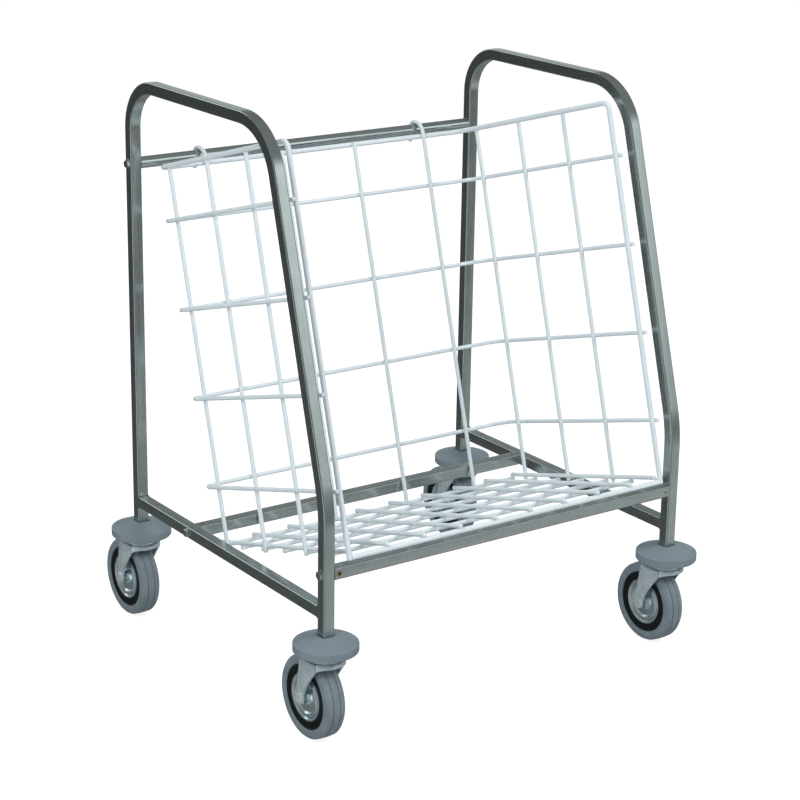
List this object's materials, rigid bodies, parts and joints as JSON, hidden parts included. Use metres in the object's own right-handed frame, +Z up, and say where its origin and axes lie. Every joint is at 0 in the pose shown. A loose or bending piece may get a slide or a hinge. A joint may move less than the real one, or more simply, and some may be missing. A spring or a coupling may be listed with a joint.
{
  "type": "tray return trolley",
  "caption": "Tray return trolley: two bent square-tube side frames on swivel casters carry a tilted, open-fronted wire basket that hangs on a bar and lifts off.",
  "frame": {"origin": "on the floor, below the middle of the trolley's outline", "axes": "+Z up, +X to the trolley's right, -Y towards the open front where trays go in"},
  "size_m": [0.724, 0.6725, 0.87],
  "materials": {
    "stainless_steel": "brushed",
    "coated_wire": "satin plastic coating",
    "zinc_plated_steel": "zinc plated",
    "grey_bumper": "satin",
    "grey_tyre": "satin",
    "black_rim": "satin"
  },
  "bodies": {
    "root": {"left_side_frame": "stainless_steel", "right_side_frame": "stainless_steel", "left_side_rail": "stainless_steel", "right_side_rail": "stainless_steel", "front_cross_rail": "stainless_steel", "rear_cross_rail": "stainless_steel", "hanging_bar": "stainless_steel", "bumpers": "grey_bumper", "swivel_heads": "zinc_plated_steel", "leg_plugs": "zinc_plated_steel"},
    "basket": {"basket_rim": "coated_wire", "basket_hoops": "coated_wire", "basket_side_uprights": "coated_wire", "basket_back_uprights": "coated_wire", "basket_hook_uprights": "coated_wire", "basket_floor_bars": "coated_wire", "basket_cross_wires": "coated_wire", "basket_front_wire": "coated_wire"},
    "front_left_caster": {"front_left_fork": "zinc_plated_steel", "front_left_axle": "zinc_plated_steel"},
    "front_left_wheel": {"front_left_wheel": "grey_tyre"},
    "front_right_caster": {"front_right_fork": "zinc_plated_steel", "front_right_axle": "zinc_plated_steel"},
    "front_right_wheel": {"front_right_wheel": "grey_tyre"},
    "rear_left_caster": {"rear_left_fork": "zinc_plated_steel", "rear_left_axle": "zinc_plated_steel"},
    "rear_left_wheel": {"rear_left_wheel": "grey_tyre"},
    "rear_right_caster": {"rear_right_fork": "zinc_plated_steel", "rear_right_axle": "zinc_plated_steel"},
    "rear_right_wheel": {"rear_right_wheel": "grey_tyre"}
  },
  "joints": [
    {"name": "basket_lift", "type": "slide", "parent": "root", "child": "basket", "axis": [0, 0, 1], "range_m": [0, 0.12]},
    {"name": "front_left_swivel", "type": "hinge", "parent": "root", "child": "front_left_caster", "pos_m": [-0.315, -0.28925, 0.134], "axis": [0, 0, 1], "continuous": true},
    {"name": "front_left_spin", "type": "hinge", "parent": "front_left_caster", "child": "front_left_wheel", "pos_m": [-0.315, -0.25725, 0.0625], "axis": [1, 0, 0], "continuous": true},
    {"name": "front_right_swivel", "type": "hinge", "parent": "root", "child": "front_right_caster", "pos_m": [0.315, -0.28925, 0.134], "axis": [0, 0, 1], "continuous": true},
    {"name": "front_right_spin", "type": "hinge", "parent": "front_right_caster", "child": "front_right_wheel", "pos_m": [0.315, -0.25725, 0.0625], "axis": [1, 0, 0], "continuous": true},
    {"name": "rear_left_swivel", "type": "hinge", "parent": "root", "child": "rear_left_caster", "pos_m": [-0.315, 0.24175, 0.134], "axis": [0, 0, 1], "continuous": true},
    {"name": "rear_left_spin", "type": "hinge", "parent": "rear_left_caster", "child": "rear_left_wheel", "pos_m": [-0.315, 0.27375, 0.0625], "axis": [1, 0, 0], "continuous": true},
    {"name": "rear_right_swivel", "type": "hinge", "parent": "root", "child": "rear_right_caster", "pos_m": [0.315, 0.24175, 0.134], "axis": [0, 0, 1], "continuous": true},
    {"name": "rear_right_spin", "type": "hinge", "parent": "rear_right_caster", "child": "rear_right_wheel", "pos_m": [0.315, 0.27375, 0.0625], "axis": [1, 0, 0], "continuous": true}
  ]
}
